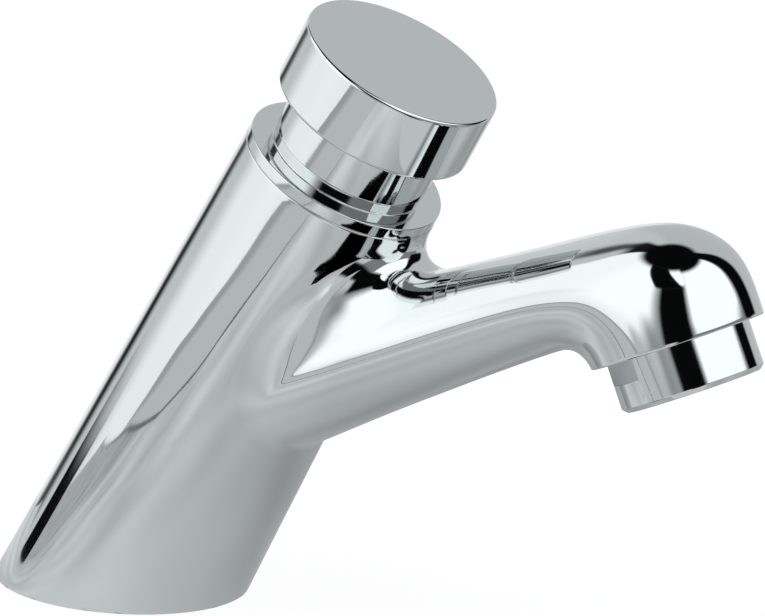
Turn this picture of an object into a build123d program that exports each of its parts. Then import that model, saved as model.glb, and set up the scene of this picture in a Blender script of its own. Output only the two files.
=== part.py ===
from build123d import *
import math
import os

# A push timed tap: a leaning conical body with a round cast spout, and a big push
# button on its leaning axis. Pressing the button drives a spindle down, which opens
# a valve under its seat; a spring and a damped piston bring it back after some
# seconds. A threaded shank clamps the body to a deck.
#
# Millimetres and degrees. +Z is up, +X points from the body to the spout's outlet,
# and the origin is the tap hole's centre on top of the deck. Three frames are used:
# the deck frame itself, the leaning frame, whose Z runs up the body's axis from the
# origin, and the outlet frame, whose origin is the spout's rim centre and whose Z
# points back up into the spout.

# Driving sizes of the whole tap
lean_angle = 28.7
body_length = 106.8
body_foot_radius = 23.64
body_top_radius = 20.3
spout_reach = 126.35
outlet_height = 70.6
outlet_tilt = 24.4
push_travel = 7.5
deck_thickness = 30.0
run_clearance = 0.05
slip_clearance = 0.3
overrun = 1.0

# The visible parts above the body
flange_thickness = 2.45
neck_step_height = 2.4
neck_step_radius = 15.75
neck_radius = 16.05
rim_rest_gap = 1.75
button_height = 13.6
button_radius = 20.15

# The spout and its rim
head_radius = 17.03
head_height = 23.4
junction_fillet = 4.0
seam_chamfer = 0.2
arm_root_level = 48.0

# Levels up the leaning axis
seam_level = body_length - flange_thickness
step_level = body_length + neck_step_height
button_rim_level = step_level + rim_rest_gap + push_travel
button_top_level = button_rim_level + button_height


def leaning(shape):
    """Turns a shape from its own upright frame onto the body's leaning axis."""
    return Rotation(0, lean_angle, 0) * shape


def turned(*profile):
    """Turns a closed profile of (radius, height) corners about Z."""
    corners = [(radius, 0, height) for radius, height in profile]
    return revolve(make_face(Polyline(*corners, close=True)), Axis.Z)


def ring(inner, outer, low, high):
    """A plain ring between two radii and two heights."""
    return turned((inner, low), (outer, low), (outer, high), (inner, high))


def rod(radius, low, high):
    """A plain round bar on Z between two heights."""
    return Pos(0, 0, low) * Cylinder(radius, high - low, align=(Align.CENTER, Align.CENTER, Align.MIN))


def o_ring(inner, outer, low):
    """A round-section sealing ring that fills the gap between two radii."""
    section = (outer - inner) / 2
    centre = (inner + outer) / 2
    return Pos(0, 0, low + section) * Torus(centre, section)


def hexagon(across_flats, bore, low, high, chamfer_height):
    """A hexagon nut with its corners turned off top and bottom."""
    corner_radius = across_flats / 2 / math.cos(math.pi / 6)
    blank = extrude(RegularPolygon(corner_radius, 6), high - low)
    face_radius = across_flats / 2
    envelope = turned(
        (0, 0),
        (face_radius, 0),
        (corner_radius, chamfer_height),
        (corner_radius, high - low - chamfer_height),
        (face_radius, high - low),
        (0, high - low),
    )
    nut = (blank & envelope) - rod(bore, -overrun, high - low + overrun)
    return Pos(0, 0, low) * nut


def hole_circle(radius, count, hole_radius, low, high):
    """Round bars on a circle, to cut a ring of holes."""
    bar = rod(hole_radius, low, high)
    return [place * bar for place in PolarLocations(radius, count)]


def body_radius(level):
    """The body's outer radius at a level up its leaning axis."""
    return body_foot_radius - (body_foot_radius - body_top_radius) * level / body_length


def body_cone(low, high, wall):
    """A leaning cone that lies inside the body's surface by a wall's thickness."""
    cone = Cone(
        body_radius(low) - wall,
        body_radius(high) - wall,
        high - low,
        align=(Align.CENTER, Align.CENTER, Align.MIN),
    )
    return leaning(Rotation(0, 0, 180) * Pos(0, 0, low) * cone)


lean_sine = math.sin(math.radians(lean_angle))
lean_cosine = math.cos(math.radians(lean_angle))
tilt_sine = math.sin(math.radians(outlet_tilt))
tilt_cosine = math.cos(math.radians(outlet_tilt))

outlet_frame = Plane(
    origin=(spout_reach, 0, outlet_height),
    x_dir=(tilt_cosine, 0, tilt_sine),
    z_dir=(-tilt_sine, 0, tilt_cosine),
)

# The cartridge and the passages that hold it, up the leaning axis. The seat is a
# shoulder low in the body, the gallery is the wide space round the cartridge that
# feeds the spout, and the land above it takes the cartridge's sealing rings. The
# cartridge's flange lies on the land's top, right under the bonnet nut.
seat_share = 0.412
seat_level = seat_share * body_length
seat_web = 6.0
seat_bore_radius = 9.5
seat_land_height = 6.0
cartridge_bore_radius = 15.0
gallery_radius = 17.6
nut_thread_radius = 16.5
nut_thread_depth = 13.0
flange_seat_margin = 3.34
cap_flange_thickness = 2.35
upper_land_height = 9.0
cast_wall = 4.0
nut_foot_level = seam_level - nut_thread_depth
cap_flange_level = nut_foot_level - cap_flange_thickness
gallery_low_level = seat_level + seat_land_height
gallery_high_level = cap_flange_level - upper_land_height

# The shank's socket and the gasket groove under the foot
shank_radius = 10.48
shank_bore_radius = 6.6
socket_radius = shank_radius + run_clearance
socket_depth = 9.0
socket_web = 3.0
socket_mouth_radius = 7.5
groove_edge = 2.24
groove_width = 2.8
groove_depth = 1.8
groove_outer_radius = body_foot_radius - groove_edge
groove_inner_radius = groove_outer_radius - groove_width

# The spout's waterway and the outlet's thread
waterway_radius = 6.2
waterway_root_share = 0.85
waterway_root_height_share = 0.72
waterway_head_share = 0.23
waterway_head_height_share = 0.575
outlet_thread_radius = 12.0
outlet_thread_depth = 8.4
outlet_chamber_radius = 9.6
outlet_chamber_height = 6.4

# Stations of the spout from inside the body to the rim. Each row has the share of
# the run back from the head's rear edge and the height under the spout, the share
# of the run back from the head's front edge and the height on top, and half the
# width. Heights are shares of the head's height, widths of the rim's radius.
spout_station_shares = [
    (1.000, 0.048, 1.000, 1.346, 1.057),
    (0.775, 0.100, 0.837, 1.278, 1.022),
    (0.573, 0.152, 0.691, 1.222, 0.928),
    (0.393, 0.186, 0.561, 1.167, 0.834),
    (0.213, 0.212, 0.415, 1.107, 0.804),
    (0.112, 0.218, 0.301, 1.064, 0.834),
    (0.052, 0.196, 0.155, 0.998, 0.910),
    (0.022, 0.135, 0.068, 0.865, 0.955),
    (0.006, 0.050, 0.010, 0.550, 0.990),
    (0.000, 0.000, 0.000, 0.000, 1.000),
]
section_arcs = 4


def spout_run():
    """How far back the spout's root lies from the outlet's axis, on the body's axis."""
    root = Vector(arm_root_level * lean_sine, 0, arm_root_level * lean_cosine)
    return -outlet_frame.to_local_coords(root).X


def spout_section(under, above, half_width):
    """An oval of four quarter arcs, in the plane through its lowest and highest points."""
    low = outlet_frame.from_local_coords(Vector(under[0], 0, under[1]))
    high = outlet_frame.from_local_coords(Vector(above[0], 0, above[1]))
    centre = (low + high) * 0.5
    half_up = (high - low) * 0.5
    half_across = Vector(0, half_width, 0)
    arc_turn = 2 * math.pi / section_arcs
    corner_weight = math.cos(arc_turn / 2)

    def around(turn, stretch):
        return centre + (half_up * math.cos(turn) + half_across * math.sin(turn)) * stretch

    arcs = []
    for arc in range(section_arcs):
        start = around(arc * arc_turn, 1)
        corner = around((arc + 1 / 2) * arc_turn, 1 / corner_weight)
        end = around((arc + 1) * arc_turn, 1)
        arcs.append(Edge.make_bezier(start, corner, end, weights=[1, corner_weight, 1]))
    return Face(Wire(arcs))


def spout():
    """The cast spout, from inside the body to its round rim."""
    run = spout_run()
    sections = []
    for under_back, under_height, above_back, above_height, width in spout_station_shares:
        under = (-head_radius - under_back * (run - head_radius), under_height * head_height)
        above = (head_radius - above_back * (run + head_radius), above_height * head_height)
        sections.append(spout_section(under, above, width * head_radius))
    return loft(sections)


def waterway():
    """The round passage drilled along the spout."""
    run = spout_run()
    root = Vector(-run * waterway_root_share, 0, head_height * waterway_root_height_share)
    head = Vector(-head_radius * waterway_head_share, 0, head_height * waterway_head_height_share)
    start = outlet_frame.from_local_coords(root)
    way = outlet_frame.from_local_coords(head) - start
    plane = Plane(origin=start, x_dir=(0, 1, 0), z_dir=way)
    return plane * rod(waterway_radius, 0, way.length)


def body_casting():
    """The body and spout in one hollow casting, bored and threaded."""
    foot = body_cone(-body_foot_radius, seam_level, 0)
    half_space = 2 * body_length
    below_deck = Pos(0, 0, -half_space / 2) * Box(2 * half_space, half_space, half_space)
    outside = (foot - below_deck) + spout()
    body_face = outside.faces().filter_by(GeomType.CONE)[0]
    junction = body_face.edges().filter_by(GeomType.BSPLINE)
    outside = fillet(junction, junction_fillet)

    # The seat for the nut's flange, turned flat with its outer edge broken
    flange_seat = turned(
        (0, seam_level),
        (body_top_radius - seam_chamfer, seam_level),
        (body_radius(seam_level - seam_chamfer), seam_level - seam_chamfer),
        (body_top_radius + flange_seat_margin, seam_level - seam_chamfer),
        (body_top_radius + flange_seat_margin, body_length),
        (0, body_length),
    )
    bores = turned(
        (0, seat_level - seat_web - overrun),
        (seat_bore_radius, seat_level - seat_web - overrun),
        (seat_bore_radius, seat_level),
        (cartridge_bore_radius, seat_level),
        (cartridge_bore_radius, gallery_low_level),
        (gallery_radius, gallery_low_level),
        (gallery_radius, gallery_high_level),
        (cartridge_bore_radius, gallery_high_level),
        (cartridge_bore_radius, nut_foot_level),
        (nut_thread_radius, nut_foot_level),
        (nut_thread_radius, seam_level + overrun),
        (0, seam_level + overrun),
    )
    web_top = socket_depth + socket_web
    lifted_block = Pos(0, 0, web_top + half_space / 2) * Box(2 * half_space, half_space, half_space)
    inlet_chamber = body_cone(-body_foot_radius, seat_level - seat_web, cast_wall) & lifted_block
    socket = rod(socket_radius, -overrun, socket_depth)
    socket_mouth = rod(socket_mouth_radius, 0, web_top + overrun)
    gasket_groove = ring(groove_inner_radius, groove_outer_radius, -overrun, groove_depth)
    outlet_bore = turned(
        (0, -overrun),
        (outlet_thread_radius + run_clearance, -overrun),
        (outlet_thread_radius + run_clearance, outlet_thread_depth),
        (outlet_chamber_radius, outlet_thread_depth),
        (outlet_chamber_radius, outlet_thread_depth + outlet_chamber_height),
        (0, outlet_thread_depth + outlet_chamber_height),
    )
    casting = outside - leaning(flange_seat) - leaning(bores) - inlet_chamber - socket - socket_mouth
    return casting - gasket_groove - outlet_frame * outlet_bore - waterway()


# The bonnet nut: its flange is the band on top of the body, its thread screws into
# the casting and clamps the cartridge down, and its spigot carries the neck sleeve.
nut_bore_radius = 10.6
spigot_radius = 14.5
spigot_height = 4.0
flange_chamfer = 0.4
step_chamfer = 0.2


def bonnet_nut():
    thread_radius = nut_thread_radius - run_clearance
    flange_radius = body_top_radius
    return leaning(
        turned(
            (nut_bore_radius, nut_foot_level),
            (thread_radius - flange_chamfer, nut_foot_level),
            (thread_radius, nut_foot_level + flange_chamfer),
            (thread_radius, seam_level),
            (flange_radius - seam_chamfer, seam_level),
            (flange_radius, seam_level + seam_chamfer),
            (flange_radius, body_length - flange_chamfer),
            (flange_radius - flange_chamfer, body_length),
            (neck_step_radius, body_length),
            (neck_step_radius, step_level - step_chamfer),
            (neck_step_radius - step_chamfer, step_level),
            (spigot_radius, step_level),
            (spigot_radius, step_level + spigot_height - flange_chamfer),
            (spigot_radius - flange_chamfer, step_level + spigot_height),
            (nut_bore_radius, step_level + spigot_height),
        )
    )


# The neck sleeve: a thin turned tube pushed over the nut's spigot. The button's
# skirt slides down over it, and still covers its top when the button is up.
sleeve_overlap = 1.95
sleeve_chamfer = 0.4


def neck_sleeve():
    inner = spigot_radius + run_clearance
    top = button_rim_level + sleeve_overlap
    return leaning(
        turned(
            (inner, step_level),
            (neck_radius - step_chamfer, step_level),
            (neck_radius, step_level + step_chamfer),
            (neck_radius, top - sleeve_chamfer),
            (neck_radius - sleeve_chamfer, top),
            (inner, top),
        )
    )


# The cartridge: a turned barrel that holds the valve seat, the windows and the
# damping cylinder, closed by a screwed cap that guides the spindle.
seat_gasket_thickness = 1.6
seat_gasket_inner = 10.2
seat_gasket_outer = 14.6
barrel_foot_level = seat_level + seat_gasket_thickness
barrel_foot_radius = 14.6
barrel_foot_height = 3.0
seat_pocket_radius = 9.0
window_belt_radius = 12.5
window_belt_height = 6.0
window_bore_radius = 8.6
window_radius = 2.2
window_count = 6
shelf_thickness = 3.0
shelf_bore_radius = 6.0
barrel_waist_radius = 13.6
cylinder_radius = 11.0
land_radius = 14.9
land_entry = 1.0
land_level = gallery_high_level + land_entry
cap_thread_radius = 12.0
cap_thread_length = 4.5
barrel_window_level = barrel_foot_level + barrel_foot_height
shelf_level = barrel_window_level + window_belt_height
cylinder_level = shelf_level + shelf_thickness
cap_thread_level = cap_flange_level - cap_thread_length
seal_groove_radius = 12.9
seal_groove_width = 2.3
seal_groove_edge = 1.2
seal_groove_pitch = 3.4
seal_groove_count = 2


def seal_groove_levels():
    """The foot of each sealing groove, up from the barrel's land."""
    first = land_level + seal_groove_edge
    return [first + groove * seal_groove_pitch for groove in range(seal_groove_count)]


def cartridge_barrel():
    cap_thread_bore = cap_thread_radius + run_clearance
    barrel = turned(
        (seat_pocket_radius, barrel_foot_level),
        (barrel_foot_radius, barrel_foot_level),
        (barrel_foot_radius, barrel_window_level),
        (window_belt_radius, barrel_window_level),
        (window_belt_radius, shelf_level),
        (barrel_waist_radius, cylinder_level),
        (barrel_waist_radius, land_level),
        (land_radius, land_level),
        (land_radius, cap_flange_level),
        (cap_thread_bore, cap_flange_level),
        (cap_thread_bore, cap_thread_level),
        (cylinder_radius, cap_thread_level),
        (cylinder_radius, cylinder_level),
        (shelf_bore_radius, cylinder_level),
        (shelf_bore_radius, shelf_level),
        (window_bore_radius, shelf_level),
        (window_bore_radius, barrel_window_level),
        (seat_pocket_radius, barrel_window_level),
    )
    for level in seal_groove_levels():
        barrel -= ring(seal_groove_radius, land_radius + overrun, level, level + seal_groove_width)
    window_low, window_high = window_bore_radius - overrun, window_belt_radius + overrun
    window = Rotation(0, 90, 0) * rod(window_radius, window_low, window_high)
    window_centre = (barrel_window_level + shelf_level) / 2
    for place in PolarLocations(0, window_count):
        barrel -= Pos(0, 0, window_centre) * (place * window)
    return leaning(barrel)


def cartridge_seals():
    """Two sealing rings in the barrel's grooves, against the body's upper land."""
    low_radius = seal_groove_radius + run_clearance
    high_radius = cartridge_bore_radius - run_clearance
    rings = []
    for level in seal_groove_levels():
        section = high_radius - low_radius
        low = level + (seal_groove_width - section) / 2
        rings.append(leaning(o_ring(low_radius, high_radius, low)))
    return rings


def seat_gasket():
    return leaning(ring(seat_gasket_inner, seat_gasket_outer, seat_level, barrel_foot_level))


# The valve seat: a brass ring pressed up into the barrel's foot, with a narrow lip
# that the rubber washer closes against from below.
seat_opening_radius = 5.2
seat_lip_radius = 6.4
seat_lip_height = 0.8
lip_level = barrel_foot_level - seat_lip_height


def valve_seat():
    return leaning(
        turned(
            (seat_opening_radius, lip_level),
            (seat_lip_radius, lip_level),
            (seat_lip_radius, barrel_foot_level),
            (seat_pocket_radius - run_clearance, barrel_foot_level),
            (seat_pocket_radius - run_clearance, barrel_window_level),
            (seat_opening_radius, barrel_window_level),
        )
    )


# The spindle's sizes, which the bushes, seals and moving pieces all take theirs from
spindle_radius = 4.0
spindle_waist_radius = 3.0
spindle_tail_radius = 2.0
spindle_head_radius = 3.0
lower_bush_wall = shelf_bore_radius - spindle_waist_radius


def lower_bush():
    """The plastic bush in the barrel's shelf that guides the spindle's waist."""
    return leaning(
        ring(
            spindle_waist_radius + run_clearance,
            spindle_waist_radius + lower_bush_wall - run_clearance,
            shelf_level,
            cylinder_level,
        )
    )


# The cartridge cap screws into the barrel. Its neck stands up inside the bonnet nut
# and holds, from below, the spindle's seal, its bush and the ring that keeps them.
cap_neck_radius = 10.4
cap_neck_rise = 1.2
cap_bore_radius = 5.0
gland_radius = 7.0
gland_floor = 3.15
clip_thickness = 1.0
clip_groove_depth = 0.7
clip_top_depth = 1.1
cap_chamfer = 0.5
cap_neck_top_level = step_level + cap_neck_rise
gland_level = nut_foot_level + gland_floor
bush_level = gland_level + gland_radius - spindle_radius
clip_level = cap_neck_top_level - clip_top_depth - clip_thickness


def cartridge_cap():
    clip_top = clip_level + clip_thickness + run_clearance
    cap = turned(
        (cap_bore_radius, cap_thread_level),
        (cap_thread_radius, cap_thread_level),
        (cap_thread_radius, cap_flange_level),
        (land_radius, cap_flange_level),
        (land_radius, nut_foot_level),
        (cap_neck_radius, nut_foot_level),
        (cap_neck_radius, cap_neck_top_level - cap_chamfer),
        (cap_neck_radius - cap_chamfer, cap_neck_top_level),
        (gland_radius, cap_neck_top_level),
        (gland_radius, clip_top),
        (gland_radius + clip_groove_depth, clip_top),
        (gland_radius + clip_groove_depth, clip_level - run_clearance),
        (gland_radius, clip_level - run_clearance),
        (gland_radius, gland_level),
        (cap_bore_radius, gland_level),
    )
    return leaning(cap)


def stem_seal():
    """The spindle's sealing ring, at the bottom of the cap's gland."""
    return leaning(o_ring(spindle_radius + run_clearance, gland_radius - run_clearance, gland_level))


def stem_bush():
    """The bronze bush that guides the spindle's upper end."""
    return leaning(
        ring(spindle_radius + run_clearance, gland_radius - run_clearance, bush_level, clip_level)
    )


clip_width = 2.0
clip_gap_width = 3.2


def stem_clip():
    """The split spring ring in the cap's groove that holds the bush down."""
    outer = gland_radius + clip_groove_depth - run_clearance
    clip = ring(outer - clip_width, outer, clip_level, clip_level + clip_thickness)
    gap = Pos(0, -outer, clip_level) * Box(
        clip_gap_width, outer, 2 * clip_thickness, align=(Align.CENTER, Align.CENTER, Align.CENTER)
    )
    return leaning(clip - gap)


# The moving group. The spindle is one turned bar: its head screws into the button,
# its waist carries the piston, and its tail carries the valve disc.
piston_length = 7.2
piston_level = cap_thread_level - slip_clearance - piston_length
valve_washer_thickness = 3.0
valve_washer_radius = 7.4
disc_radius = 8.2
disc_base = 2.5
disc_rim_height = 2.2
valve_nut_flats = 7.0
valve_nut_height = 3.2
tail_stub = 1.0
washer_level = lip_level - valve_washer_thickness
disc_level = washer_level - disc_base
valve_nut_level = disc_level - valve_nut_height
tail_level = valve_nut_level - tail_stub
locknut_flats = 10.0
locknut_height = 3.0
button_boss_radius = 6.5
button_boss_length = 7.9
button_top_thickness = 2.6
button_ceiling_level = button_top_level - button_top_thickness
boss_level = button_ceiling_level - button_boss_length
locknut_level = boss_level - locknut_height
spindle_head_length = 6.0
spindle_shoulder_gap = 0.5
head_chamfer = 0.4


def spindle():
    shoulder = piston_level + piston_length
    thread_foot = locknut_level - spindle_shoulder_gap
    thread_top = boss_level + spindle_head_length
    thread_radius = spindle_head_radius - run_clearance
    return leaning(
        turned(
            (0, tail_level),
            (spindle_tail_radius, tail_level),
            (spindle_tail_radius, washer_level),
            (spindle_waist_radius, washer_level),
            (spindle_waist_radius, shoulder),
            (spindle_radius, shoulder),
            (spindle_radius, thread_foot - head_chamfer),
            (spindle_radius - head_chamfer, thread_foot),
            (thread_radius, thread_foot),
            (thread_radius, thread_top - head_chamfer),
            (thread_radius - head_chamfer, thread_top),
            (0, thread_top),
        )
    )


# The damping piston and its cup seal. Water passes the cup's lip freely on the
# push, and comes back only through the small bleed hole, which times the flow.
piston_side_gap = 0.3
cup_groove_radius = 8.4
cup_groove_low = 2.0
cup_height = 3.2
cup_lip_width = 0.9
cup_lip_height = 2.0
bleed_radius = 0.5
bleed_circle = 5.6


def piston():
    outer = cylinder_radius - piston_side_gap
    bore = spindle_waist_radius + run_clearance
    groove_low = piston_level + cup_groove_low
    body = ring(bore, outer, piston_level, piston_level + piston_length)
    body -= ring(cup_groove_radius, outer + overrun, groove_low, groove_low + cup_height)
    bleed = rod(bleed_radius, piston_level - overrun, piston_level + piston_length + overrun)
    return leaning(body - Pos(bleed_circle, 0, 0) * bleed)


def cup_seal():
    """The lip seal in the piston's groove, open towards the spring."""
    inner = cup_groove_radius + run_clearance
    outer = cylinder_radius - run_clearance
    low = piston_level + cup_groove_low + run_clearance
    high = low + cup_height - 2 * run_clearance
    lip_foot = low + cup_lip_height
    return leaning(
        turned(
            (inner, low),
            (inner + cup_lip_width, low),
            (inner + cup_lip_width, lip_foot),
            (outer - cup_lip_width / 2, lip_foot),
            (outer - cup_lip_width / 2, low),
            (outer, low),
            (outer, high),
            (inner, high),
        )
    )


piston_clip_radius = 4.8
piston_clip_thickness = 0.9
piston_clip_gap = 3.0


def piston_clip():
    """The split ring under the piston that keeps it against the spindle's shoulder."""
    inner = spindle_waist_radius + run_clearance
    low = piston_level - piston_clip_thickness
    clip = ring(inner, piston_clip_radius, low, piston_level)
    gap = Pos(0, -piston_clip_radius, low) * Box(
        piston_clip_gap, 2 * piston_clip_radius, 4 * piston_clip_thickness
    )
    return leaning(clip - gap)


def valve_washer():
    """The rubber washer that closes against the seat's lip."""
    bore = spindle_waist_radius + run_clearance
    return leaning(ring(bore, valve_washer_radius, washer_level, lip_level))


def valve_disc():
    """The brass cup that holds the rubber washer."""
    bore = spindle_tail_radius + run_clearance
    pocket = valve_washer_radius + run_clearance
    rim_top = washer_level + disc_rim_height
    return leaning(
        turned(
            (bore, disc_level),
            (disc_radius - head_chamfer, disc_level),
            (disc_radius, disc_level + head_chamfer),
            (disc_radius, rim_top),
            (pocket, rim_top),
            (pocket, washer_level),
            (bore, washer_level),
        )
    )


def valve_nut():
    bore = spindle_tail_radius + run_clearance
    return leaning(hexagon(valve_nut_flats, bore, valve_nut_level, disc_level, head_chamfer))


def button_locknut():
    bore = spindle_head_radius
    return leaning(hexagon(locknut_flats, bore, locknut_level, boss_level, head_chamfer))


# The push button: a turned cup with a flat top, a skirt that slides over the neck
# sleeve, and a threaded boss in the middle for the spindle.
button_wall = 3.2
button_top_edge = 0.6
button_rim_edge = 0.3
thread_end_gap = 0.5


def push_button():
    cavity_radius = button_radius - button_wall
    thread_bore = spindle_head_radius
    thread_end = boss_level + spindle_head_length + thread_end_gap
    button = turned(
        (0, thread_end),
        (thread_bore, thread_end),
        (thread_bore, boss_level),
        (button_boss_radius, boss_level),
        (button_boss_radius, button_ceiling_level),
        (cavity_radius, button_ceiling_level),
        (cavity_radius, button_rim_level + button_rim_edge),
        (cavity_radius + button_rim_edge, button_rim_level),
        (button_radius - button_rim_edge, button_rim_level),
        (button_radius, button_rim_level + button_rim_edge),
        (button_radius, button_top_level),
        (0, button_top_level),
    )
    top_edge = button.edges().filter_by(GeomType.CIRCLE).sort_by(Axis.Z)[-1]
    return leaning(fillet(top_edge, button_top_edge))


# The return spring, a real coil between the barrel's shelf and the piston
spring_coil_radius = 8.0
spring_wire_radius = 0.7
spring_pitch = 3.25


def return_spring():
    seat_gap = spring_wire_radius + run_clearance
    height = piston_level - cylinder_level - 2 * seat_gap
    path = Helix(spring_pitch, height, spring_coil_radius)
    section = Plane(origin=path @ 0, z_dir=path % 0) * Circle(spring_wire_radius)
    coil = sweep(section, path, is_frenet=True)
    return leaning(Pos(0, 0, cylinder_level + seat_gap) * coil)


# The threaded shank under the body and what clamps it to the deck
thread_pitch = 1.814
thread_depth = 1.16
thread_crest = 0.5
shank_length = 62.0
shank_chamfer = 1.0
shank_gasket_thickness = 1.6
washer_bore_radius = 10.9
washer_radius = 18.0
deck_washer_thickness = 3.0
clamp_washer_thickness = 2.0
backnut_flats = 27.0
backnut_height = 9.0
backnut_chamfer = 1.2
clamp_level = -deck_thickness - deck_washer_thickness
backnut_top_level = clamp_level - clamp_washer_thickness
backnut_low_level = backnut_top_level - backnut_height


def inlet_shank():
    """The brass tail pipe, threaded down to the nut and left plain at its free end."""
    top = socket_depth - shank_gasket_thickness
    root_radius = shank_radius - thread_depth
    slope = (thread_pitch - thread_crest) / 2
    profile = [
        (shank_bore_radius, -shank_length),
        (shank_radius - shank_chamfer, -shank_length),
        (shank_radius, -shank_length + shank_chamfer),
    ]
    turns = int(-backnut_low_level / thread_pitch)
    for turn in range(turns):
        groove = backnut_low_level + turn * thread_pitch
        profile.append((shank_radius, groove))
        profile.append((root_radius, groove + slope))
        profile.append((shank_radius, groove + 2 * slope))
    profile.append((shank_radius, top))
    profile.append((shank_bore_radius, top))
    return turned(*profile)


def shank_gasket():
    top = socket_depth
    return ring(shank_bore_radius, shank_radius - run_clearance, top - shank_gasket_thickness, top)


def base_gasket():
    """The rubber ring that lies flush in the groove under the foot."""
    return ring(
        groove_inner_radius + run_clearance,
        groove_outer_radius - run_clearance,
        0,
        groove_depth - run_clearance,
    )


def deck_washer():
    return ring(washer_bore_radius, washer_radius, clamp_level, -deck_thickness)


def clamp_washer():
    return ring(washer_bore_radius, washer_radius, backnut_top_level, clamp_level)


def backnut():
    return hexagon(backnut_flats, socket_radius, backnut_low_level, backnut_top_level, backnut_chamfer)


# The inlet strainer: a small perforated cup pushed up the shank's bore
strainer_plate = 0.8
strainer_height = 3.6
strainer_wall = 0.6
strainer_depth = 12.0
strainer_hole_radius = 0.55
strainer_ring_radii = (1.8, 3.7)
strainer_ring_counts = (6, 12)


def inlet_strainer():
    outer = shank_bore_radius - run_clearance
    top = -shank_length + strainer_depth + strainer_height
    plate_foot = top - strainer_plate
    cup = rod(outer, -shank_length + strainer_depth, top)
    cup -= rod(outer - strainer_wall, -shank_length + strainer_depth - overrun, plate_foot)
    cup -= rod(strainer_hole_radius, plate_foot - overrun, top + overrun)
    for radius, count in zip(strainer_ring_radii, strainer_ring_counts):
        cup -= hole_circle(radius, count, strainer_hole_radius, plate_foot - overrun, top + overrun)
    return cup


# The outlet: a housing screwed into the spout's rim, with its washer, strainer, flow
# regulator, jet plate and outlet grid. Heights are up from the rim in its own frame.
housing_radius = 14.0
housing_length = 9.7
housing_thread_length = 6.4
housing_bore_radius = 10.6
housing_lip = 1.5
housing_mouth_radius = 9.9
housing_chamfer = 0.9
mouth_chamfer = 0.5
flat_depth = 1.05
flat_height = 4.2
flat_angles = (-121.0, 59.0)
insert_radius = housing_bore_radius - run_clearance


def outlet_housing():
    housing = turned(
        (housing_mouth_radius + mouth_chamfer, -housing_length),
        (housing_radius - housing_chamfer, -housing_length),
        (housing_radius, -housing_length + housing_chamfer),
        (housing_radius, 0),
        (outlet_thread_radius, 0),
        (outlet_thread_radius, housing_thread_length),
        (housing_bore_radius, housing_thread_length),
        (housing_bore_radius, -housing_length + housing_lip),
        (housing_mouth_radius, -housing_length + housing_lip),
        (housing_mouth_radius, -housing_length + mouth_chamfer),
    )
    for angle in flat_angles:
        block = Pos(housing_radius - flat_depth, 0, -flat_height) * Box(
            housing_radius,
            2 * housing_radius,
            flat_height,
            align=(Align.MIN, Align.CENTER, Align.MIN),
        )
        housing -= Rotation(0, 0, angle) * block
    return outlet_frame * housing


outlet_washer_inner = 8.6


def outlet_washer():
    low = housing_thread_length + run_clearance
    outer = outlet_thread_radius - run_clearance
    return outlet_frame * ring(outlet_washer_inner, outer, low, outlet_thread_depth)


insert_strainer_height = 2.2
insert_strainer_plate = 0.7
insert_strainer_wall = 0.8
insert_strainer_hole = 0.5
insert_strainer_ring_radii = (2.2, 4.4, 6.6)
insert_strainer_ring_counts = (6, 12, 18)
regulator_height = 2.4
regulator_bore = 2.2
regulator_slot_circle = 6.6
regulator_slot_radius = 1.5
regulator_slot_count = 8
jet_height = 4.0
jet_wall = 1.0
jet_plate = 1.2
jet_hole_radius = 0.6
jet_hole_circle = 6.2
jet_hole_count = 16
insert_low_level = -housing_length + housing_lip
stack_height = insert_strainer_height + regulator_height + jet_height
grid_height = housing_thread_length - insert_low_level - stack_height
jet_level = insert_low_level + grid_height
regulator_level = jet_level + jet_height
insert_strainer_level = regulator_level + regulator_height


def outlet_strainer():
    """The fine strainer on top of the insert."""
    top = insert_strainer_level + insert_strainer_height
    plate_foot = top - insert_strainer_plate
    cup = rod(insert_radius, insert_strainer_level, top)
    cup -= rod(insert_radius - insert_strainer_wall, insert_strainer_level - overrun, plate_foot)
    cup -= rod(insert_strainer_hole, plate_foot - overrun, top + overrun)
    for radius, count in zip(insert_strainer_ring_radii, insert_strainer_ring_counts):
        cup -= hole_circle(radius, count, insert_strainer_hole, plate_foot - overrun, top + overrun)
    return outlet_frame * cup


def flow_regulator():
    """The rubber plate whose slots close up as the pressure rises."""
    top = regulator_level + regulator_height
    plate = ring(regulator_bore, insert_radius, regulator_level, top)
    plate -= hole_circle(
        regulator_slot_circle,
        regulator_slot_count,
        regulator_slot_radius,
        regulator_level - overrun,
        top + overrun,
    )
    return outlet_frame * plate


def jet_plate_cup():
    """The plastic cup that splits the stream into fine jets and draws in air."""
    top = jet_level + jet_height
    cup = rod(insert_radius, jet_level, top)
    cup -= rod(insert_radius - jet_wall, jet_level - overrun, top - jet_plate)
    cup -= hole_circle(jet_hole_circle, jet_hole_count, jet_hole_radius, jet_level - overrun, top + overrun)
    return outlet_frame * cup


grid_frame_width = 1.1
grid_pitch = 2.6
grid_opening = 2.0


def outlet_grid():
    """The plastic grid that shows in the outlet's mouth and straightens the stream."""
    mouth = insert_radius - grid_frame_width
    reach = int(mouth / grid_pitch)
    plate = Circle(insert_radius)
    for column in range(-reach, reach + 1):
        for row in range(-reach, reach + 1):
            x, y = column * grid_pitch, row * grid_pitch
            if math.hypot(abs(x) + grid_opening / 2, abs(y) + grid_opening / 2) < mouth:
                plate -= Pos(x, y) * Rectangle(grid_opening, grid_opening)
    return outlet_frame * (Pos(0, 0, insert_low_level) * extrude(plate, grid_height))


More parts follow.
